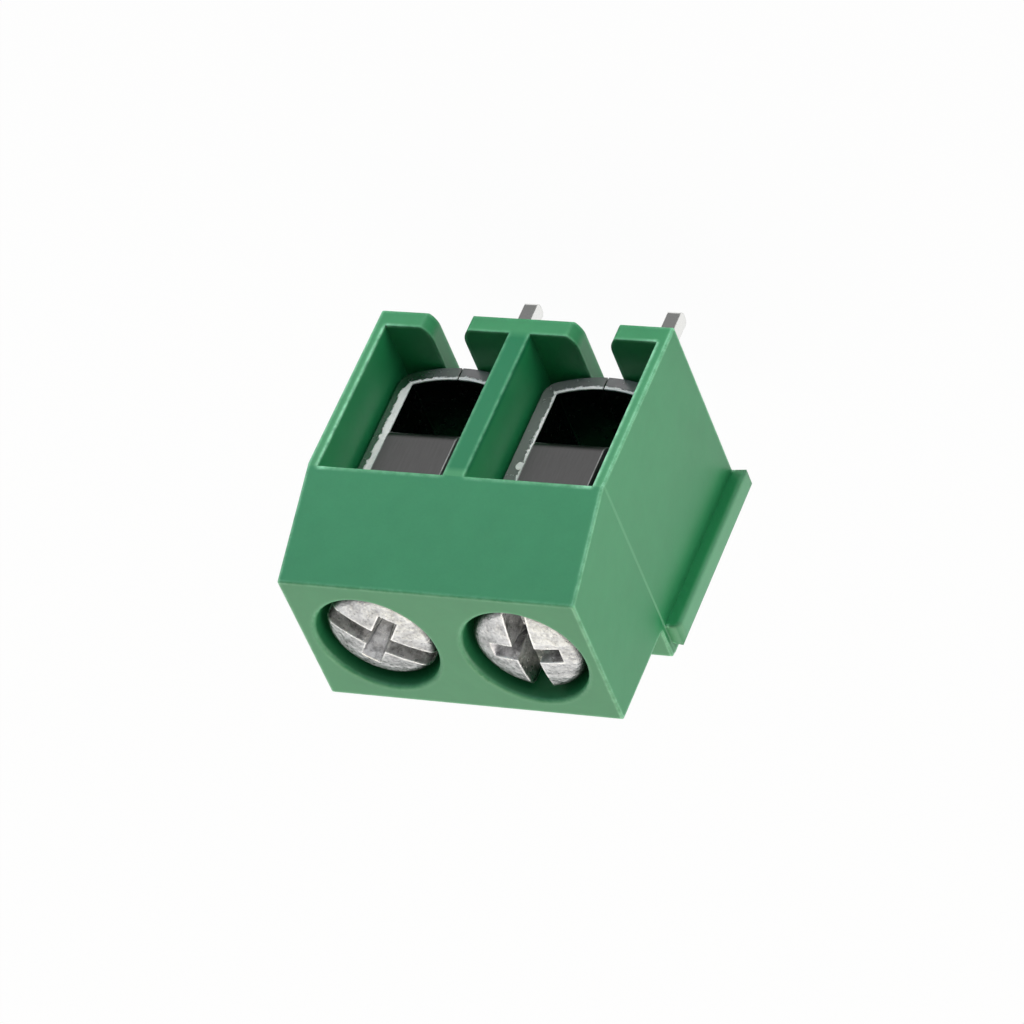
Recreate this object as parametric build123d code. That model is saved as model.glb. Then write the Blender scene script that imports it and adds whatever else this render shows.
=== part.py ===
from build123d import *
import math
import os

# Screw terminal block for printed circuit boards, with wire entries at the front.
# X runs across the poles, Y from the wire entries to the back, Z up from the board.
# The origin is on the board's surface, midway along the row of solder pins.
# All sizes are in millimetres and all angles in degrees.

# Housing, outside
pitch = 5.08
pole_count = 2
height = 10.25
front_reach = 3.99
back_reach = 3.84
ledge_z = 6.70
slope_drop = 3.69
parting_z = 6.46
step_height = 0.05
upper_relief = 0.02
corner_round = 0.08
side_round = 0.06

# Housing, inside
side_wall = 0.36
floor_thickness = 0.65
frame_front_inset = 1.78
frame_back_wall = 1.75
frame_side_gap = 0.18
frame_fit = 0.05
frame_lift = 0.03
well_side_wall = 0.50
well_front_wall = 0.65
well_back_wall = 0.59
well_rim = 0.14

# Slot in the floor that the solder pin slides along
slot_shift = 0.10
pin_gap = 0.33
lead_radius = 0.80
lead_turn = 48.0
lip_round = 0.15

# Dovetail rib on one side, and the groove for the next block on the other
rib_back_wall = 0.42
rib_root_width = 0.80
rib_reach = 0.50
rib_undercut = 0.06
rib_bevel_in = 0.15
rib_bevel_back = 0.26
rib_end_bevel = 0.16
groove_fit = 0.05

# Clamp frame, folded from one strip that ends in the solder pin
strip = 0.48
bottom_bow = 0.48
fold_inside = 0.08
collar_side_gap = 0.03
collar_height = 1.10
collar_foot_gap = 0.48
collar_lead = 0.12
seam_gap = 0.05
pin_width = 0.62
pin_length = 4.00
pin_bend = 0.15
pin_edge = 0.04
pin_tip_round = 0.22

# Clamp screw, with a domed head
screw_y = -0.05
thread_radius = 1.10
thread_fit = 0.03
head_side_gap = 0.19
head_height = 1.78
head_crown = 0.25
head_sink = 0.12
head_round = 0.34
head_gap = 0.05
tip_gap = 0.02
tip_bevel = 0.22
slot_width = 0.74
slot_depth = 1.00
cross_length = 2.46
cross_width = 0.64
cross_depth = 1.40
cross_point = 0.70
cross_floor = 0.34
rest_angles = (89.0, 147.0)

# Wire guard, a folded strip that the screw pushes down on the wire
guard_strip = 0.30
guard_width = 2.43
guard_bend = 0.10
guard_gap = 0.18
flap_gap = 0.18
hook_gap = 0.38
closing_gap = 0.087

# How far a cutting solid reaches past what it cuts, and how near its stated
# place an edge or corner has to lie to be picked for a fillet or bevel
overcut = 1.0
nearness = 0.001

# Places that follow from the sizes above, from the outside inwards
width = pitch * pole_count
slope_foot_z = height - slope_drop
cavity_half = pitch / 2 - side_wall
well_radius = pitch / 2 - well_side_wall
slope_top_y = screw_y - well_radius - well_front_wall
upper_back_y = screw_y + well_radius + well_back_wall
rib_back_y = back_reach - rib_back_wall

# Clamp frame, seen from above
frame_half = cavity_half - frame_side_gap
frame_front_y = frame_front_inset - front_reach
frame_back_y = back_reach - frame_back_wall - frame_fit
frame_foot_z = floor_thickness + frame_lift
bow_radius = (frame_half**2 + bottom_bow**2) / (2 * bottom_bow)
bow_centre_z = frame_foot_z + bow_radius
collar_radius = frame_half - strip - collar_side_gap


def bow_inside_z(x):
    """Height of the frame's inner bottom surface at x from the pole's middle."""
    return bow_centre_z - math.sqrt((bow_radius - strip) ** 2 - x**2)


# The clamp is open at rest. Its travel is what the height leaves both under the
# screw head and under the wire guard. It is 2.25, which is five turns of a thread
# with a pitch of 0.45.
guard_half = guard_width / 2
guard_closed_z = bow_inside_z(guard_half) + closing_gap
head_radius = well_radius - head_side_gap
head_top_z = height - head_sink
head_foot_z = head_top_z - head_height
clamp_stack = guard_strip + collar_foot_gap + collar_height + strip + head_gap
travel = (head_foot_z - clamp_stack - guard_closed_z) / 2
frame_top_z = head_foot_z - head_gap - travel
ceiling_z = frame_top_z + frame_fit
collar_foot_z = frame_top_z - strip - collar_height
guard_foot_z = guard_closed_z + travel
guard_seat_z = guard_foot_z + guard_strip
guard_front_y = frame_front_y - guard_gap - guard_strip
guard_back_y = frame_back_y + guard_gap + guard_strip
screw_tip_z = guard_seat_z + tip_gap


def pole_x(index):
    """Middle of a pole, counted from the side with the rib."""
    return (index - (pole_count - 1) / 2) * pitch


def at(items, axis, place):
    """The edges or corners whose middle lies at one place along an axis."""
    return items.filter_by_position(axis, place - nearness, place + nearness)


def block(x0, x1, y0, y1, z0, z1):
    """Rectangular solid between two corners."""
    middle = Pos((x0 + x1) / 2, (y0 + y1) / 2, (z0 + z1) / 2)
    return middle * Box(x1 - x0, y1 - y0, z1 - z0)


def disc(x, y, radius, z0, z1):
    """Upright cylinder between two heights."""
    return Pos(x, y, (z0 + z1) / 2) * Cylinder(radius, z1 - z0)


def side_outline():
    """Outline of the housing seen from the side, with its moulded corners rounded."""
    corners = Polyline(
        (-front_reach, 0),
        (back_reach, 0),
        (back_reach, ledge_z),
        (upper_back_y, ledge_z),
        (upper_back_y, height),
        (slope_top_y, height),
        (-front_reach, slope_foot_z),
        close=True,
    )
    outline = make_face(corners)
    return fillet(outline.vertices(), corner_round)


def rounded_body(body_width):
    """Solid body of a given width, with rounded edges round both side faces."""
    start = Plane.YZ.offset(-body_width / 2)
    body = extrude(start * side_outline(), amount=body_width)
    edges = at(body.edges(), Axis.X, -body_width / 2) + at(body.edges(), Axis.X, body_width / 2)
    return fillet(edges, side_round)


def outer_body():
    """Wider lower half and narrower upper half, joined by a fine bevelled step."""
    step_z = parting_z + step_height
    front_y = -front_reach - overcut
    back_y = back_reach + overcut
    lower = rounded_body(width) & block(-width, width, front_y, back_y, -overcut, step_z)
    upper = rounded_body(width - 2 * upper_relief)
    upper &= block(-width, width, front_y, back_y, step_z, height + overcut)
    for side in (-1, 1):
        step = Polyline(
            (side * width / 2, parting_z),
            (side * width, parting_z),
            (side * width, step_z),
            (side * (width / 2 - upper_relief), step_z),
            close=True,
        )
        lower -= extrude(Plane.XZ.offset(-back_y) * make_face(step), amount=back_y - front_y)
    return lower + upper


def rib_section(side_x, grow):
    """Dovetail section left of a side face, grown on all sides when it is a groove."""
    root_x = side_x + side_wall / 2
    tip_x = side_x - rib_reach - grow
    back = rib_back_y + grow
    front = rib_back_y - rib_root_width - grow
    section = Polyline(
        (root_x, front),
        (side_x, front),
        (tip_x, front - rib_undercut),
        (tip_x, back + rib_undercut - rib_bevel_back),
        (tip_x + rib_bevel_in, back + rib_undercut),
        (side_x, back),
        (root_x, back),
        close=True,
    )
    return make_face(section)


def rib():
    """Dovetail rib with its upper end bevelled."""
    side_x = -width / 2
    bar = extrude(rib_section(side_x, 0), amount=parting_z)
    end = at(bar.edges(), Axis.Z, parting_z)
    return chamfer(at(end, Axis.X, side_x - rib_reach), rib_end_bevel)


def groove():
    """Dovetail groove that takes the rib of the next block, open at both ends."""
    top_z = ledge_z + overcut
    start = Plane.XY.offset(-overcut)
    cut = extrude(start * rib_section(width / 2, groove_fit), amount=top_z + overcut)
    return cut - block(0, width, -back_reach, upper_back_y, ledge_z, top_z + overcut)


def pin_slot():
    """Plan of the open slot in the floor, with a curved lead-in and rounded lips."""
    half = strip / 2 + pin_gap
    turn = math.radians(lead_turn)
    lead_y = lead_radius * math.sin(turn) - front_reach
    mouth_half = half + lead_radius * (1 - math.cos(turn))
    outer_half = mouth_half + 2 * lip_round
    outer_y = -front_reach - lip_round
    lines = [
        CenterArc((half + lead_radius, lead_y), lead_radius, 180, lead_turn),
        CenterArc((-half - lead_radius, lead_y), lead_radius, 0, -lead_turn),
        CenterArc((0, 0), half, 0, 180),
        Line((half, lead_y), (half, 0)),
        Line((-half, lead_y), (-half, 0)),
        Polyline(
            (mouth_half, -front_reach),
            (outer_half, -front_reach),
            (outer_half, outer_y),
            (-outer_half, outer_y),
            (-outer_half, -front_reach),
            (-mouth_half, -front_reach),
        ),
    ]
    plan = make_face(lines)
    lips = at(plan.vertices(), Axis.Y, -front_reach)
    lips = lips.filter_by(lambda corner: abs(corner.X) < mouth_half + lip_round)
    return fillet(lips, lip_round)


def pole_space(x):
    """Everything that is hollow in one pole of the housing, without its floor slot."""
    front_y = -front_reach - overcut
    guard_room = guard_half + guard_gap
    chamber = block(
        x - cavity_half, x + cavity_half,
        front_y, frame_back_y + frame_fit,
        floor_thickness, ceiling_z,
    )
    entry = block(
        x - cavity_half, x + cavity_half,
        front_y, guard_front_y + guard_strip + frame_fit,
        floor_thickness, slope_foot_z,
    )
    hook_room = block(
        x - guard_room, x + guard_room,
        frame_back_y, guard_back_y + frame_fit,
        floor_thickness, ceiling_z,
    )
    well = disc(x, screw_y, well_radius, frame_top_z, height + overcut)
    return chamber + entry + hook_room + well


def housing():
    """Moulded housing with one open chamber and one screw well for each pole."""
    body = outer_body() + rib() - groove()
    slot_plan = pin_slot()
    slot_top_z = floor_thickness + frame_lift
    for index in range(pole_count):
        x = pole_x(index)
        body -= pole_space(x)
        body -= Pos(x + slot_shift, 0, -overcut) * extrude(slot_plan, amount=slot_top_z + overcut)
    rims = at(body.edges().filter_by(GeomType.CIRCLE), Axis.Z, height)
    rims = rims.filter_by(lambda edge: abs(edge.radius - well_radius) < nearness)
    return fillet(rims, well_rim)


def frame_outline():
    """Outline of the folded frame seen from the front, with its bowed bottom."""
    bow_end_z = frame_foot_z + bottom_bow
    bow = ThreePointArc((-frame_half, bow_end_z), (0, frame_foot_z), (frame_half, bow_end_z))
    sides = Polyline(
        (frame_half, bow_end_z),
        (frame_half, frame_top_z),
        (-frame_half, frame_top_z),
        (-frame_half, bow_end_z),
    )
    outline = make_face([bow, sides])
    return fillet(outline.vertices(), strip + fold_inside)


def solder_pin():
    """Tongue of the strip, bent down through the seam, with a rounded tip."""
    half = strip / 2
    bend_z = frame_foot_z - pin_bend
    bend_x = -half - pin_bend
    reach = pin_bend + strip
    outer_bend = Pos(bend_x, bend_z) * Circle(reach)
    inner_bend = Pos(bend_x, bend_z) * Circle(pin_bend)
    quarter = Pos(bend_x + reach, bend_z + reach) * Rectangle(2 * reach, 2 * reach)
    start = Plane.XZ.offset(-pin_width / 2)
    bend = extrude(start * ((outer_bend - inner_bend) & quarter), amount=pin_width)
    pin = block(-half, half, -pin_width / 2, pin_width / 2, -pin_length, bend_z)
    pin = chamfer(pin.edges().filter_by(Axis.Z), pin_edge)
    tip = at(pin.edges(), Axis.Z, -pin_length).filter_by(Axis.X)
    return bend + fillet(tip, pin_tip_round)


def clamp_frame(x):
    """One pole's frame: folded ring, threaded collar, bottom seam and solder pin."""
    outline = frame_outline()
    section = outline - offset(outline, amount=-strip, kind=Kind.INTERSECTION)
    ring = extrude(Plane.XZ.offset(-frame_back_y) * section, amount=frame_back_y - frame_front_y)
    collar = disc(0, screw_y, collar_radius, collar_foot_z, frame_top_z - strip)
    hole_radius = thread_radius + thread_fit
    hole = disc(0, screw_y, hole_radius, collar_foot_z - overcut, frame_top_z + overcut)
    frame = ring + collar - hole
    entry = at(frame.edges().filter_by(GeomType.CIRCLE), Axis.Z, frame_top_z)
    frame = chamfer(entry, collar_lead)
    bend_x = strip / 2 + pin_bend
    cut_foot_z = frame_foot_z - overcut
    cut_top_z = bow_inside_z(bend_x) + seam_gap
    front_y = frame_front_y - overcut
    back_y = frame_back_y + overcut
    frame -= block(0, seam_gap, front_y, back_y, cut_foot_z, cut_top_z)
    notch_half = pin_width / 2 + seam_gap
    notch_end = strip / 2 + seam_gap
    frame -= block(-bend_x, notch_end, -notch_half, notch_half, cut_foot_z, cut_top_z)
    return Pos(x, 0, 0) * (frame + solder_pin())


def cross_arm():
    """One straight arm of the cross recess, with all four walls sloping inwards."""
    foot = Pos(0, 0, head_top_z - cross_depth) * Rectangle(cross_point, cross_floor)
    mouth = Pos(0, 0, head_top_z) * Rectangle(cross_length, cross_width)
    return loft([foot, mouth])


def screw_drive():
    """Driving slot across the whole head, with a shorter cross recess in its middle."""
    reach = head_radius + overcut
    half = slot_width / 2
    slot = block(-reach, reach, -half, half, head_top_z - slot_depth, head_top_z + overcut)
    return slot + cross_arm() + Rot(0, 0, 90) * cross_arm()


def domed_head():
    """Round head with a shallow dome and a rounded rim."""
    dome_radius = (head_radius**2 + head_crown**2) / (2 * head_crown)
    dome = Pos(0, 0, head_top_z - dome_radius) * Sphere(dome_radius)
    head = disc(0, 0, head_radius, head_foot_z, head_top_z) & dome
    return fillet(at(head.edges(), Axis.Z, head_top_z - head_crown), head_round)


def clamp_screw(x, rest_angle):
    """One pole's screw, at its highest place and turned as it rests."""
    head = domed_head()
    shank = disc(0, 0, thread_radius, screw_tip_z, head_foot_z)
    shank = chamfer(at(shank.edges(), Axis.Z, screw_tip_z), tip_bevel)
    screw = head + shank - screw_drive()
    return Pos(x, screw_y, 0) * Rot(0, 0, rest_angle) * screw


def wire_guard(x):
    """One pole's guard: leaf under the screw, flap in front, hook behind the frame."""
    flap_top_z = slope_foot_z - flap_gap
    hook_top_z = ceiling_z - hook_gap
    outline = make_face(
        Polyline(
            (guard_front_y, flap_top_z),
            (guard_front_y, guard_foot_z),
            (guard_back_y, guard_foot_z),
            (guard_back_y, hook_top_z),
            (guard_back_y - guard_strip, hook_top_z),
            (guard_back_y - guard_strip, guard_seat_z),
            (guard_front_y + guard_strip, guard_seat_z),
            (guard_front_y + guard_strip, flap_top_z),
            close=True,
        )
    )
    outline = fillet(at(outline.vertices(), Axis.Y, guard_foot_z), guard_bend + guard_strip)
    outline = fillet(at(outline.vertices(), Axis.Y, guard_seat_z), guard_bend)
    return extrude(Plane.YZ.offset(x - guard_half) * outline, amount=guard_width)


def all_pieces():
    """Every separate piece by name, with the poles counted from the rib's side."""
    pieces = {"housing": housing()}
    for index in range(pole_count):
        x = pole_x(index)
        number = index + 1
        rest_angle = rest_angles[index % len(rest_angles)]
        pieces[f"clamp_frame_{number}"] = clamp_frame(x)
        pieces[f"clamp_screw_{number}"] = clamp_screw(x, rest_angle)
        pieces[f"wire_guard_{number}"] = wire_guard(x)
    return pieces


os.makedirs("parts", exist_ok=True)
for name, piece in all_pieces().items():
    export_step(piece, f"parts/{name}.step")
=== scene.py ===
import math

import bpy
from mathutils import Matrix, Quaternion, Vector


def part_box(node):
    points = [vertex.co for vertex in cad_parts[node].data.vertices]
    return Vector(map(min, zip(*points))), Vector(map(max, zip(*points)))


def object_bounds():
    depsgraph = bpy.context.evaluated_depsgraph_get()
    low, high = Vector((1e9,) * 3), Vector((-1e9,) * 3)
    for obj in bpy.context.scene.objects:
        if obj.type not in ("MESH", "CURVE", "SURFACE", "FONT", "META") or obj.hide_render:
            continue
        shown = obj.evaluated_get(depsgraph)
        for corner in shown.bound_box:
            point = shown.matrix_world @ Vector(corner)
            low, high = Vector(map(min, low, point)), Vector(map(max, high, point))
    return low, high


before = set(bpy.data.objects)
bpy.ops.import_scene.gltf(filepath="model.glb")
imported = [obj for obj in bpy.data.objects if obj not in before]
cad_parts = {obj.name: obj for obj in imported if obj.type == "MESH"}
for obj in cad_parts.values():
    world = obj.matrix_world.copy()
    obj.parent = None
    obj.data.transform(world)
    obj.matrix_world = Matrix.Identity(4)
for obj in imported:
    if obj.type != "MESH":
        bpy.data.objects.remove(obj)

# Looks of the screw terminal block: materials, studio and camera.
# Lengths in this script are millimetres, turned into metres by MM.
MM = 0.001

cad_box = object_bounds()

# Camera, at the viewing angle of the photograph, which holds the block upside down
CAMERA_EYE = Vector((-77.90, -120.55, 103.05)) * MM
CAMERA_AZIMUTH = 32.901
CAMERA_ELEVATION = 34.455
CAMERA_ROLL = -155.485
CAMERA_LENS = 196.875
CAMERA_CLIP = (1.0, 10000.0)

# Floor: its side, its grey and how much of it is plain white to the camera
FLOOR_SIZE = 1600.0
FLOOR_GREY = 0.82
FLOOR_ROUGH = 0.9
BACKDROP_SHARE = 0.97

# Brightness of the world as plain light and as seen in reflections
AMBIENT = 0.15
WORLD_MIRROR = 0.46

# Grey card that reflections alone show: height over the pins' ends, edges in x and y, level
CARD_LIFT = 0.05
CARD_EDGES = (-12.0, 12.0, -8.5, -0.33)
CARD_LEVEL = 0.24

# Softboxes aimed at the block: place, width and height, power and colour
SOFTBOXES = {
    "front_softbox": ((-95, -180, 20), (220, 46), 0.038, (0.90, 1.0, 1.08)),
    "window_softbox": ((100, -200, 22), (200, 50), 0.041, (0.35, 0.70, 1.0)),
    "back_softbox": ((95, 170, 150), (470, 470), 0.60, (1.02, 1.0, 0.95)),
    "top_softbox": ((0, 60, 250), (160, 160), 0.15, (1.08, 1.0, 0.72)),
    "side_softbox": ((-210, 125, 60), (250, 150), 0.215, (1.10, 1.0, 0.94)),
}

# Softbox that lies on the floor in front of the block and faces up
FLOOR_SOFTBOX = ((-20, -24, -3.7), (90, 34), 0.0175, (0.92, 1.0, 0.98))

# Noises: cells per millimetre, detail and roughness
GREEN_CLOUD = (0.9, 5.0, 0.62)
GREEN_FINE = (14.0, 5.0)
GREEN_WAVES = (0.9, 2.0)
HIGHLIGHT_CLOUD = (3.5, 3.0)
TIN_FINE = (5.0, 5.0)
SCREW_CLOUD = (1.6, 6.0, 0.65)
SCREW_FINE = (9.0, 5.0)
SLOT_CLOUD = (3.0, 5.0, 0.65)
GUARD_FINE = (9.0, 4.0)
GUARD_STREAKS = (1.0, 3.0)

# What is made of the noises: where each begins and ends, and the lowest and highest share
GREEN_CLOUD_SHARE = (0.3, 0.7, 0.0, 0.6)
GREEN_FINE_SHARE = (0.3, 0.7, 0.0, 0.4)
HIGHLIGHT_SHARE = (0.36, 0.58, 0.45, 1.0)
SCREW_CLOUD_SHARE = (0.32, 0.60, 0.0, 0.65)
SCREW_FINE_SHARE = (0.40, 0.60, 0.0, 0.35)
SLOT_SHARE = (0.28, 0.57)
STREAK_SHARE = (0.35, 0.65)

# Samples of the shader nodes that look round a place
BEVEL_SAMPLES = 6
OCCLUSION_SAMPLES = 8

# How far the painted highlight of outward edges reaches on the plastic, the screws (where
# it is wear too) and the guards, and how much of it the inner edges of the housing keep
GREEN_HIGHLIGHT_REACH = 0.14
SCREW_WEAR_AND_HIGHLIGHT = 0.08
GUARD_HIGHLIGHT_REACH = 0.05
INNER_HIGHLIGHT = 0.30

# Shares of the ambient occlusion inside a piece between which an outward edge begins,
# and the share of an edge from which the plastic's normal is fully rounded
EDGE_OPEN = (0.94, 0.66)
EDGE_ROUNDED = 0.25

# Radii that the shading rounds edges by
GREEN_ROUND = 0.10
RIB_ROUND = 0.28
TIN_ROUND = 0.05
SCREW_ROUND = 0.07
GUARD_ROUND = 0.03

# Rib, by depth behind its outer face: where its rounding begins, how its outer face's
# painted highlight and rounded normal fade out, how strong that painted highlight is and
# how little of the edges' painted highlight it keeps
RIB_ROUND_DEPTH = (0.40, 0.30)
RIB_FACE_HIGHLIGHT_DEPTH = (0.20, 0.02)
RIB_NORMAL_DEPTH = (0.34, 0.10)
RIB_HIGHLIGHT_DEPTH = (0.36, 0.42)
RIB_FACE_HIGHLIGHT = 0.24
RIB_EDGE_HIGHLIGHT = 0.2

# Distance from the middle, and height, from which the housing's edges are outer ones
OUTER_X = (4.0, 4.6)
OUTER_Z = (6.60, 6.90)

# Height, half-width and strength of the painted highlight along the moulding seam on the
# housing's sides, and the depth of the band along the sides that can show it
SEAM_Z = 6.485
SEAM_HALF = 0.055
SEAM_HIGHLIGHT = 0.2
SEAM_DEPTH = (0.05, 0.03)

# Front edge of the wall between the chambers, painted in shade: half-width, heights of its
# ends, and depth
CENTRE_HALF = (0.60, 0.45)
CENTRE_FOOT_Z = (0.55, 0.85)
CENTRE_TOP_Z = (6.40, 6.20)
CENTRE_DEPTH = (0.25, 0.10)

# Plastic: reflectivity in general and on the middle wall, roughness, depth of its waves
# and its grain, and light in the material
GREEN_SPECULAR = (0.80, 0.40)
GREEN_ROUGH = (0.36, 0.50)
GREEN_WAVE = 0.012
GREEN_GRAIN = 0.0025
GREEN_SUBSURFACE = 0.10
GREEN_SUBSURFACE_RADIUS = (0.25, 1.0, 0.45)
GREEN_SUBSURFACE_SCALE = 0.25

# Sheared front edge of the frames: its depth, the strip's thickness, the height of its
# foot, how much of the thickness is torn bright on the bow and on the legs of each pole,
# the x and the heights between which these change, how far the torn band wobbles, and how
# soft its border is
SHEAR_DEPTH = 0.06
STRIP = 0.48
FRAME_FOOT_Z = 0.68
TORN_BOW = 0.22
TORN_LEGS = (0.16, 0.55)
POLE_BORDER_X = (-1.0, 1.0)
TORN_BOW_END_Z = (1.4, 1.8)
TORN_WOBBLE = 0.30
TORN_SOFT = 0.04

# Painted glint on the sheared edge of one leg: its place in x and z, its radius, how soft
# its border is and how much it shares of the torn band's wobble
GLINT_PLACE = (-0.89, 4.50)
GLINT_RADIUS = 0.16
GLINT_SOFT = 0.03
GLINT_WOBBLE = 0.2

# Heights between which the frames go from bright tin on the pins to painted shade inside
# the housing, and the x between which the sheared edge of the second frame turns stained
SHADE_INSIDE_Z = (0.0, 0.4)
STAINED_X = (3.2, 3.8)

# Frames: metal share of the rolled band on each pole, roughness in general and where
# torn, depth of the torn relief, and the share of it that the rest has
ROLLED_METAL = (0.5, 1.0)
TIN_ROUGH = (0.16, 0.34)
TORN_ROUGH = (0.40, 0.62)
TORN_RELIEF = 0.06
CALM_RELIEF = 0.12

# Middle of the screws, and the radii between which their rounded rim is painted in shade
SCREW_Y = -0.05
RIM_RADII = (1.58, 1.80)

# Screws: reach of the shade in their slots, how open a place is where the slot's look and
# its deep shade end, roughness, and depth of the blotches and the grain
SLOT_REACH = 1.2
SLOT_OPEN = (0.75, 0.95)
SLOT_DEEP = (0.12, 0.52)
SCREW_ROUGH = (0.18, 0.42)
SCREW_BLOTCH = 0.11
SCREW_GRAIN = 0.010

# Guards: cells per millimetre of their rolling streaks along each axis, roughness, and
# how much the streaks change it, and depth of the grain
STREAK_SCALE = (14.0, 3.0, 1.2)
GUARD_ROUGH = (0.30, 0.40)
STREAK_ROUGH = (0.96, 1.04)
GUARD_GRAIN = 0.002

# Colours, linear
GREEN_BASE = (0.023, 0.288, 0.105)
GREEN_DEEP = (0.014, 0.248, 0.086)
# Painted highlight of the plastic's outer edges, seam and rib face
GREEN_HIGHLIGHT = (0.330, 0.790, 0.490)
# Painted shade on the middle wall's front edge
GREEN_CENTRE_SHADE = (0.004, 0.196, 0.078)
TIN_BRIGHT = (0.84, 0.84, 0.82)
# Painted shade of the frames inside the housing
TIN_SHADED_INSIDE = (0.16, 0.16, 0.16)
TIN_ROLLED = (0.31, 0.29, 0.30)
TIN_STAINED = (0.42, 0.43, 0.42)
TIN_TORN = (1.0, 0.94, 0.95)
NICKEL_DARK = (0.20, 0.20, 0.21)
NICKEL_BRIGHT = (0.58, 0.585, 0.61)
# Wear and painted highlight on the screws' edges
NICKEL_WORN_HIGHLIGHT = (0.95, 0.95, 0.95)
NICKEL_SLOT = (0.98, 0.98, 1.0)
NICKEL_SHADE = (0.06, 0.06, 0.06)
STEEL_DARK = (0.110, 0.108, 0.108)
STEEL_PALE = (0.122, 0.120, 0.120)
# Painted highlight on the guards' outward edges
STEEL_HIGHLIGHT = (0.60, 0.60, 0.60)


def new_material(name):
    """Empty node material, with its tree and its shader."""
    material = bpy.data.materials.new(name)
    material.use_nodes = True
    tree = material.node_tree
    return material, tree, tree.nodes["Principled BSDF"]


def node(tree, kind, **values):
    """Adds a node and sets its properties and its inputs by name."""
    made = tree.nodes.new(kind)
    for key, value in values.items():
        if hasattr(made, key):
            setattr(made, key, value)
        else:
            made.inputs[key.replace("_", " ")].default_value = value
    return made


def feed(tree, socket, value):
    """Sets a socket to a plain number or colour, or links another socket to it."""
    if isinstance(value, (int, float)):
        socket.default_value = value
    elif isinstance(value, tuple):
        socket.default_value = (*value, 1)
    else:
        tree.links.new(value, socket)


def place_in_mm(tree):
    """Position on the object at rest, in millimetres."""
    place = node(tree, "ShaderNodeTexCoord")
    scale = node(tree, "ShaderNodeVectorMath", operation="SCALE")
    scale.inputs["Scale"].default_value = 1 / MM
    tree.links.new(place.outputs["Object"], scale.inputs[0])
    return scale.outputs["Vector"]


def axes(tree, place):
    """The three coordinates of a place."""
    split = node(tree, "ShaderNodeSeparateXYZ")
    tree.links.new(place, split.inputs[0])
    return split.outputs[0], split.outputs[1], split.outputs[2]


def sums(tree, operation, *values):
    """Arithmetic on sockets and plain numbers."""
    made = node(tree, "ShaderNodeMath", operation=operation)
    for socket, value in zip(made.inputs, values):
        feed(tree, socket, value)
    return made.outputs[0]


def product(tree, first, *others):
    """All the values multiplied."""
    for other in others:
        first = sums(tree, "MULTIPLY", first, other)
    return first


def highest(tree, first, *others):
    """The highest of all the values."""
    for other in others:
        first = sums(tree, "MAXIMUM", first, other)
    return first


def length(tree, first, second):
    """Length of the diagonal of two values."""
    squares = [sums(tree, "POWER", value, 2.0) for value in (first, second)]
    return sums(tree, "SQRT", sums(tree, "ADD", *squares))


def ramp(tree, value, start, end, low=0.0, high=1.0):
    """Maps the range start to end on to low to high, and holds both ends."""
    made = node(tree, "ShaderNodeMapRange")
    made.inputs["From Min"].default_value = start
    made.inputs["From Max"].default_value = end
    made.inputs["To Min"].default_value = low
    made.inputs["To Max"].default_value = high
    tree.links.new(value, made.inputs["Value"])
    return made.outputs["Result"]


def span(tree, value, low, high):
    """Maps a value from 0 to 1 on to the range low to high."""
    return ramp(tree, value, 0.0, 1.0, low, high)


def tint(tree, first, second, share):
    """Colour between two others, by a share from 0 to 1."""
    mix = node(tree, "ShaderNodeMix", data_type="RGBA")
    feed(tree, mix.inputs[0], share)
    feed(tree, mix.inputs[6], first)
    feed(tree, mix.inputs[7], second)
    return mix.outputs[2]


def between(tree, low, high, share):
    """Value between two others, by a share from 0 to 1."""
    mix = node(tree, "ShaderNodeMix", data_type="FLOAT")
    feed(tree, mix.inputs[0], share)
    feed(tree, mix.inputs[2], low)
    feed(tree, mix.inputs[3], high)
    return mix.outputs[0]


def noise(tree, place, scale, detail=3.0, roughness=0.55):
    """Noise between 0 and 1, with its scale in cells per millimetre."""
    made = node(tree, "ShaderNodeTexNoise", Scale=scale, Detail=detail, Roughness=roughness)
    tree.links.new(place, made.inputs["Vector"])
    return made.outputs["Fac"]


def bump(tree, height, distance, normal):
    """Bump of a height from 0 to 1 on a normal, with its depth in millimetres."""
    made = node(tree, "ShaderNodeBump", Distance=distance * MM)
    tree.links.new(height, made.inputs["Height"])
    tree.links.new(normal, made.inputs["Normal"])
    return made.outputs["Normal"]


def soft_edges(tree, radius):
    """Normal that rounds the edges by a radius in millimetres, a number or a socket."""
    made = node(tree, "ShaderNodeBevel", samples=BEVEL_SAMPLES)
    if isinstance(radius, float):
        made.inputs["Radius"].default_value = radius * MM
    else:
        tree.links.new(sums(tree, "MULTIPLY", radius, MM), made.inputs["Radius"])
    return made.outputs["Normal"]


def only_at_edges(tree, rounded, share):
    """Normal that is rounded at outward edges alone, so that inner corners stay sharp."""
    plain = node(tree, "ShaderNodeNewGeometry")
    mix = node(tree, "ShaderNodeMix", data_type="VECTOR")
    tree.links.new(share, mix.inputs[0])
    tree.links.new(plain.outputs["Normal"], mix.inputs[4])
    tree.links.new(rounded, mix.inputs[5])
    return mix.outputs[1]


def openness(tree, reach, inside=False):
    """How free a place is, up to a reach in millimetres, outside or inside its piece."""
    made = node(
        tree,
        "ShaderNodeAmbientOcclusion",
        samples=OCCLUSION_SAMPLES,
        inside=inside,
        only_local=True,
        Distance=reach * MM,
    )
    return made.outputs["AO"]


def edge_share(tree, reach):
    """Share of an outward edge, up to a distance in millimetres from it."""
    return ramp(tree, openness(tree, reach, inside=True), *EDGE_OPEN)


def edge_highlight_share(tree, place, edge):
    """Share of an outward edge painted pale as a highlight (on the screws also wear), unevenly
    along it.
    """
    return product(tree, edge, ramp(tree, noise(tree, place, *HIGHLIGHT_CLOUD), *HIGHLIGHT_SHARE))


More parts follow.
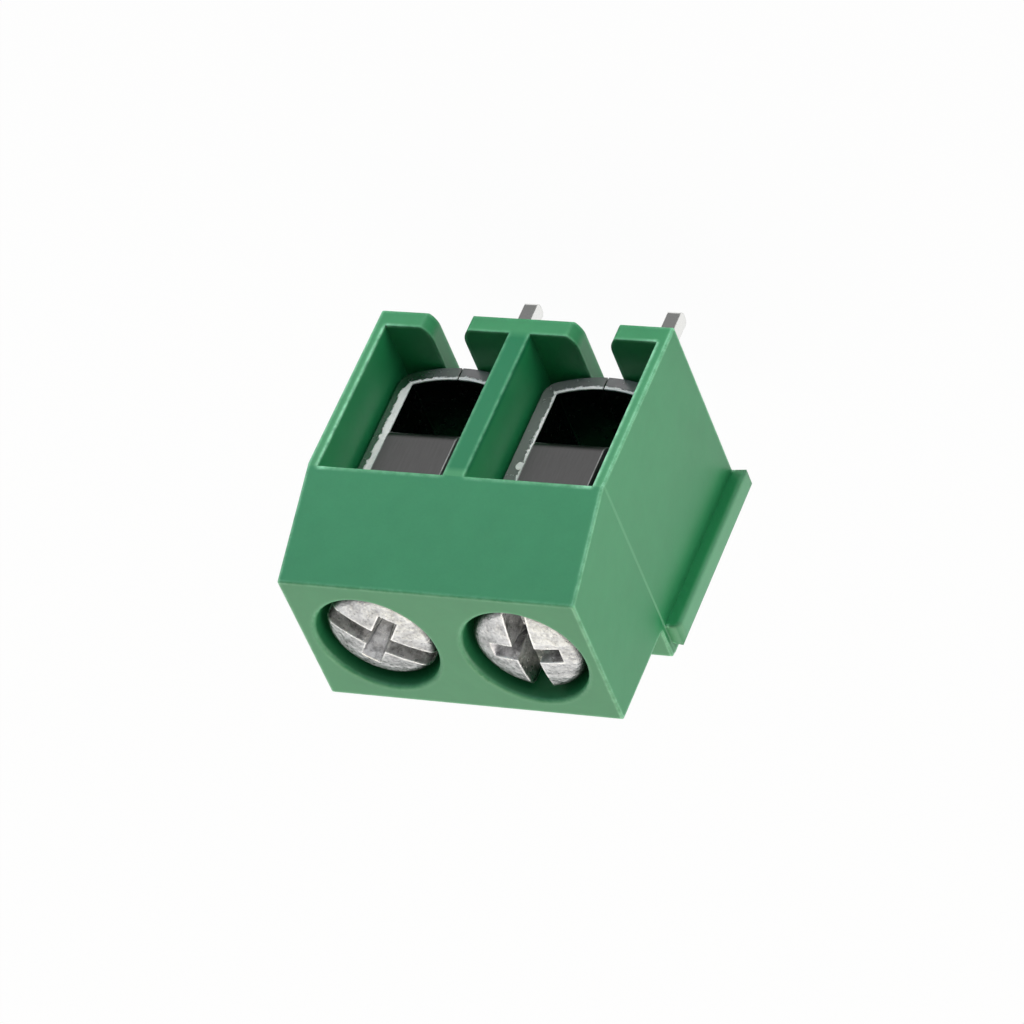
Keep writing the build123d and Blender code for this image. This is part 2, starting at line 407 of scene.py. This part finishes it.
def seam_highlight_share(tree, x, z):
    """Share of the painted highlight along the moulding seam on the housing's sides."""
    off = sums(tree, "ABSOLUTE", sums(tree, "SUBTRACT", z, SEAM_Z))
    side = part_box("housing")[1].x / MM
    start, end = (side - depth for depth in SEAM_DEPTH)
    on_side = ramp(tree, sums(tree, "ABSOLUTE", x), start, end)
    return product(tree, ramp(tree, off, SEAM_HALF, SEAM_HALF / 3, 0.0, SEAM_HIGHLIGHT), on_side)


def rib_ramp(tree, x, depths, low=0.0, high=1.0):
    """Maps two depths behind the rib's outer face on to low to high."""
    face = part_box("housing")[0].x / MM
    return ramp(tree, x, face + depths[0], face + depths[1], low, high)


def centre_shade_share(tree, x, y, z):
    """Share of the front edge of the wall between the chambers, painted in shade as less light
    reaches it.
    """
    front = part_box("housing")[0].y / MM
    return product(
        tree,
        ramp(tree, z, *CENTRE_FOOT_Z),
        ramp(tree, z, *CENTRE_TOP_Z),
        ramp(tree, sums(tree, "ABSOLUTE", x), *CENTRE_HALF),
        ramp(tree, y, front + CENTRE_DEPTH[0], front + CENTRE_DEPTH[1]),
    )


def green_plastic():
    """Satin moulded polyamide with a fine grain, with painted highlights along its outer edges,
    seam and rib face, and painted shade on the middle wall's front edge.
    """
    material, tree, shader = new_material("green_plastic")
    place = place_in_mm(tree)
    x, y, z = axes(tree, place)
    cloud = noise(tree, place, *GREEN_CLOUD)
    grain = noise(tree, place, *GREEN_FINE)
    edge = edge_share(tree, GREEN_HIGHLIGHT_REACH)
    centre_shade = centre_shade_share(tree, x, y, z)

    mottle = sums(
        tree,
        "ADD",
        ramp(tree, cloud, *GREEN_CLOUD_SHARE),
        ramp(tree, grain, *GREEN_FINE_SHARE),
    )
    # The front edge of the middle wall is painted in shade.
    colour = tint(tree, tint(tree, GREEN_DEEP, GREEN_BASE, mottle), GREEN_CENTRE_SHADE, centre_shade)
    outer = ramp(tree, sums(tree, "ABSOLUTE", x), *OUTER_X, INNER_HIGHLIGHT, 1.0)
    highlight_kept = product(
        tree,
        highest(tree, outer, ramp(tree, z, *OUTER_Z)),
        rib_ramp(tree, x, RIB_HIGHLIGHT_DEPTH, RIB_EDGE_HIGHLIGHT, 1.0),
    )
    # Painted highlights: outward edges, the moulding seam and the rib's outer face
    pale = highest(
        tree,
        product(tree, edge_highlight_share(tree, place, edge), highlight_kept),
        seam_highlight_share(tree, x, z),
        rib_ramp(tree, x, RIB_FACE_HIGHLIGHT_DEPTH, 0.0, RIB_FACE_HIGHLIGHT),
    )
    tree.links.new(tint(tree, colour, GREEN_HIGHLIGHT, pale), shader.inputs["Base Color"])

    rounding = soft_edges(tree, rib_ramp(tree, x, RIB_ROUND_DEPTH, GREEN_ROUND, RIB_ROUND))
    share = highest(tree, ramp(tree, edge, 0.0, EDGE_ROUNDED), rib_ramp(tree, x, RIB_NORMAL_DEPTH))
    normal = only_at_edges(tree, rounding, share)
    normal = bump(tree, noise(tree, place, *GREEN_WAVES), GREEN_WAVE, normal)
    normal = bump(tree, grain, GREEN_GRAIN, normal)
    tree.links.new(normal, shader.inputs["Normal"])

    tree.links.new(span(tree, grain, *GREEN_ROUGH), shader.inputs["Roughness"])
    tree.links.new(span(tree, centre_shade, *GREEN_SPECULAR), shader.inputs["Specular IOR Level"])
    shader.inputs["Subsurface Weight"].default_value = GREEN_SUBSURFACE
    shader.inputs["Subsurface Radius"].default_value = GREEN_SUBSURFACE_RADIUS
    shader.inputs["Subsurface Scale"].default_value = GREEN_SUBSURFACE_SCALE * MM
    return material


def torn_share(tree, x, z, sheared, grain):
    """1 on the torn inner part of the sheared front edge and on a painted glint on one leg, and 0
    on the rest.
    """
    low, high = (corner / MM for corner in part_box("clamp_frame_2"))
    half = (high.x - low.x) / 2
    bow_radius = (half**2 + STRIP**2) / (2 * STRIP)
    wobble = span(tree, grain, -TORN_WOBBLE, TORN_WOBBLE)

    # Depth from the inner side of the strip, as a share of its thickness
    across = sums(tree, "SUBTRACT", sums(tree, "ABSOLUTE", x), high.x - half)
    across = sums(tree, "ABSOLUTE", across)
    down = sums(tree, "SUBTRACT", FRAME_FOOT_Z + bow_radius, z)
    leg = sums(tree, "SUBTRACT", across, half - STRIP)
    bow = sums(tree, "SUBTRACT", length(tree, across, down), bow_radius - STRIP)
    band = sums(tree, "DIVIDE", highest(tree, leg, bow), STRIP)

    legs = ramp(tree, x, *POLE_BORDER_X, *TORN_LEGS)
    limit = between(tree, TORN_BOW, legs, ramp(tree, z, *TORN_BOW_END_Z))
    edge = sums(tree, "ADD", sums(tree, "SUBTRACT", limit, band), wobble)
    torn = ramp(tree, edge, -TORN_SOFT, TORN_SOFT)

    # Painted glint on one leg, added to the torn band.
    from_glint = length(
        tree,
        sums(tree, "SUBTRACT", x, GLINT_PLACE[0]),
        sums(tree, "SUBTRACT", z, GLINT_PLACE[1]),
    )
    from_glint = sums(tree, "ADD", from_glint, product(tree, wobble, GLINT_WOBBLE))
    glint = ramp(tree, from_glint, GLINT_RADIUS, GLINT_RADIUS - GLINT_SOFT)
    return product(tree, highest(tree, torn, glint), sheared)


def tinned_frame():
    """Tinned strip, bright on the pins and painted in shade inside the housing, with a rolled and
    a torn band and a painted glint on its sheared edge.
    """
    material, tree, shader = new_material("tinned_frame")
    place = place_in_mm(tree)
    x, y, z = axes(tree, place)
    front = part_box("clamp_frame_1")[0].y / MM
    sheared = ramp(tree, y, front + SHEAR_DEPTH, front + SHEAR_DEPTH / 2)
    grain = noise(tree, place, *TIN_FINE)
    torn = torn_share(tree, x, z, sheared, grain)

    # Painted shade on the frames inside the housing, above the bright pins.
    base = tint(tree, TIN_BRIGHT, TIN_SHADED_INSIDE, ramp(tree, z, *SHADE_INSIDE_Z))
    rolled = tint(tree, TIN_ROLLED, TIN_STAINED, ramp(tree, x, *STAINED_X))
    base = tint(tree, tint(tree, base, rolled, sheared), TIN_TORN, torn)
    tree.links.new(base, shader.inputs["Base Color"])

    metal = between(tree, ramp(tree, x, *STAINED_X, *ROLLED_METAL), 0.0, torn)
    tree.links.new(between(tree, 1.0, metal, sheared), shader.inputs["Metallic"])
    rough = between(tree, span(tree, grain, *TIN_ROUGH), span(tree, grain, *TORN_ROUGH), torn)
    tree.links.new(rough, shader.inputs["Roughness"])
    shader.inputs["Specular IOR Level"].default_value = 1.0

    relief = between(tree, span(tree, grain, 0.0, CALM_RELIEF), grain, torn)
    normal = bump(tree, relief, TORN_RELIEF, soft_edges(tree, TIN_ROUND))
    tree.links.new(normal, shader.inputs["Normal"])
    return material


def plated_screw():
    """Mottled nickel plate, bright on its edges with wear and painted highlight, with painted
    shade in its slots and on its rim.
    """
    material, tree, shader = new_material("plated_screw")
    place = place_in_mm(tree)
    x, y, z = axes(tree, place)
    shader.inputs["Metallic"].default_value = 1.0
    blotch = noise(tree, place, *SCREW_CLOUD)
    grain = noise(tree, place, *SCREW_FINE)
    low, high = (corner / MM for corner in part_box("clamp_screw_2"))
    across = sums(tree, "SUBTRACT", sums(tree, "ABSOLUTE", x), (low.x + high.x) / 2)
    radius = length(tree, across, sums(tree, "SUBTRACT", y, SCREW_Y))

    mottle = sums(
        tree,
        "ADD",
        ramp(tree, blotch, *SCREW_CLOUD_SHARE),
        ramp(tree, grain, *SCREW_FINE_SHARE),
    )
    scratched = ramp(tree, noise(tree, place, *SLOT_CLOUD), *SLOT_SHARE)
    slot = tint(tree, NICKEL_DARK, NICKEL_SLOT, scratched)
    free = openness(tree, SLOT_REACH)
    base = tint(tree, NICKEL_DARK, NICKEL_BRIGHT, mottle)
    base = tint(tree, slot, base, ramp(tree, free, *SLOT_OPEN))
    base = tint(tree, NICKEL_SHADE, base, ramp(tree, free, *SLOT_DEEP))
    # Painted shade on the screws' rounded rim.
    base = tint(tree, base, NICKEL_SHADE, ramp(tree, radius, *RIM_RADII))
    # Wear and painted highlight on the screws' edges
    pale_edges = edge_highlight_share(tree, place, edge_share(tree, SCREW_WEAR_AND_HIGHLIGHT))
    tree.links.new(tint(tree, base, NICKEL_WORN_HIGHLIGHT, pale_edges), shader.inputs["Base Color"])
    tree.links.new(span(tree, grain, *SCREW_ROUGH), shader.inputs["Roughness"])

    normal = bump(tree, blotch, SCREW_BLOTCH, soft_edges(tree, SCREW_ROUND))
    tree.links.new(bump(tree, grain, SCREW_GRAIN, normal), shader.inputs["Normal"])
    return material


def guard_steel():
    """Dark rolled steel with faint streaks and a painted highlight on its outward edges."""
    material, tree, shader = new_material("guard_steel")
    place = place_in_mm(tree)
    shader.inputs["Metallic"].default_value = 1.0
    grain = noise(tree, place, *GUARD_FINE)
    drawn = node(tree, "ShaderNodeVectorMath", operation="MULTIPLY")
    drawn.inputs[1].default_value = STREAK_SCALE
    tree.links.new(place, drawn.inputs[0])
    streaks = noise(tree, drawn.outputs["Vector"], *GUARD_STREAKS)

    steel = tint(tree, STEEL_DARK, STEEL_PALE, ramp(tree, streaks, *STREAK_SHARE))
    # Painted highlight on the guards' outward edges
    pale_edges = edge_highlight_share(tree, place, edge_share(tree, GUARD_HIGHLIGHT_REACH))
    tree.links.new(tint(tree, steel, STEEL_HIGHLIGHT, pale_edges), shader.inputs["Base Color"])
    streaked = ramp(tree, streaks, *STREAK_SHARE, *STREAK_ROUGH)
    rough = product(tree, span(tree, grain, *GUARD_ROUGH), streaked)
    tree.links.new(rough, shader.inputs["Roughness"])
    normal = bump(tree, grain, GUARD_GRAIN, soft_edges(tree, GUARD_ROUND))
    tree.links.new(normal, shader.inputs["Normal"])
    return material


def dress(material, prefix):
    """Gives a material to every node whose name starts with a prefix."""
    for name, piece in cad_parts.items():
        if name.startswith(prefix):
            piece.data.materials.clear()
            piece.data.materials.append(material)


def sheet(name, x0, x1, y0, y1, z):
    """Flat sheet between two x and two y, in metres, added to the scene."""
    mesh = bpy.data.meshes.new(name)
    corners = [(x0, y0, z), (x1, y0, z), (x1, y1, z), (x0, y1, z)]
    mesh.from_pydata(corners, [], [(0, 1, 2, 3)])
    made = bpy.data.objects.new(name, mesh)
    bpy.context.scene.collection.objects.link(made)
    return made


def studio_floor():
    """Pale floor under the pins, white to the camera apart from the block's shadow."""
    half = FLOOR_SIZE / 2 * MM
    floor = sheet("studio_floor", -half, half, -half, half, cad_box[0].z)
    material, tree, shader = new_material("studio_floor")
    shader.inputs["Base Color"].default_value = (FLOOR_GREY, FLOOR_GREY, FLOOR_GREY, 1)
    shader.inputs["Roughness"].default_value = FLOOR_ROUGH
    glow = node(tree, "ShaderNodeEmission", Strength=1.0)
    rays = node(tree, "ShaderNodeLightPath")
    kinds = ("Is Camera Ray", "Is Glossy Ray", "Is Transmission Ray")
    seen = highest(tree, *(rays.outputs[kind] for kind in kinds))
    mix = node(tree, "ShaderNodeMixShader")
    tree.links.new(product(tree, seen, BACKDROP_SHARE), mix.inputs[0])
    tree.links.new(shader.outputs[0], mix.inputs[1])
    tree.links.new(glow.outputs[0], mix.inputs[2])
    tree.links.new(mix.outputs[0], tree.nodes["Material Output"].inputs["Surface"])
    floor.data.materials.append(material)


def studio_world():
    """White to the camera, greyer in reflections and a plain grey light for the rest."""
    world = bpy.data.worlds.new("studio")
    world.use_nodes = True
    tree = world.node_tree
    sky = tree.nodes["Background"]
    sky.inputs["Color"].default_value = (1, 1, 1, 1)
    rays = node(tree, "ShaderNodeLightPath")
    mirrored = span(tree, rays.outputs["Is Glossy Ray"], AMBIENT, WORLD_MIRROR)
    strength = highest(tree, mirrored, rays.outputs["Is Camera Ray"])
    tree.links.new(strength, sky.inputs["Strength"])
    bpy.context.scene.world = world


def dark_card():
    """Grey card under the block that only reflections show, so that the pins have contrast."""
    edges = (edge * MM for edge in CARD_EDGES)
    card = sheet("dark_card", *edges, cad_box[0].z + CARD_LIFT * MM)
    material, tree, shader = new_material("dark_card")
    shader.inputs["Base Color"].default_value = (0, 0, 0, 1)
    shader.inputs["Specular IOR Level"].default_value = 0.0
    shader.inputs["Emission Color"].default_value = (1, 1, 1, 1)
    shader.inputs["Emission Strength"].default_value = CARD_LEVEL
    card.data.materials.append(material)
    card.visible_camera = False
    card.visible_diffuse = False
    card.visible_transmission = False
    card.visible_shadow = False


def softbox(name, place, size, power, colour):
    """Area light at a place in millimetres, with its width and height, aimed at the block."""
    lamp = bpy.data.lights.new(name, "AREA")
    lamp.shape = "RECTANGLE"
    lamp.size = size[0] * MM
    lamp.size_y = size[1] * MM
    lamp.energy = power
    lamp.color = colour
    made = bpy.data.objects.new(name, lamp)
    bpy.context.scene.collection.objects.link(made)
    made.location = Vector(place) * MM
    aim = (cad_box[0] + cad_box[1]) / 2
    made.rotation_mode = "QUATERNION"
    made.rotation_quaternion = (aim - made.location).to_track_quat("-Z", "Y")
    return made


def floor_softbox():
    """Light from below in front, which neither the camera nor reflections show."""
    made = softbox("floor_softbox", *FLOOR_SOFTBOX)
    made.rotation_quaternion = Quaternion((1, 0, 0), math.pi)
    made.visible_camera = False
    made.visible_glossy = False


def camera():
    """Camera of the photograph's view."""
    lens = bpy.data.cameras.new("camera")
    lens.lens = CAMERA_LENS
    lens.clip_start, lens.clip_end = (distance * MM for distance in CAMERA_CLIP)
    made = bpy.data.objects.new("camera", lens)
    bpy.context.scene.collection.objects.link(made)
    azimuth = math.radians(CAMERA_AZIMUTH)
    elevation = math.radians(CAMERA_ELEVATION)
    look = Vector((
        math.sin(azimuth) * math.cos(elevation),
        math.cos(azimuth) * math.cos(elevation),
        -math.sin(elevation),
    ))
    roll = Matrix.Rotation(math.radians(CAMERA_ROLL), 4, "Z")
    turn = look.to_track_quat("-Z", "Y").to_matrix().to_4x4() @ roll
    made.matrix_world = Matrix.Translation(CAMERA_EYE) @ turn
    bpy.context.scene.camera = made


dress(green_plastic(), "housing")
dress(tinned_frame(), "clamp_frame")
dress(plated_screw(), "clamp_screw")
dress(guard_steel(), "wire_guard")

studio_floor()
studio_world()
dark_card()
for name, (place, size, power, colour) in SOFTBOXES.items():
    softbox(name, place, size, power, colour)
floor_softbox()
camera()

bpy.context.scene.view_settings.view_transform = "Standard"
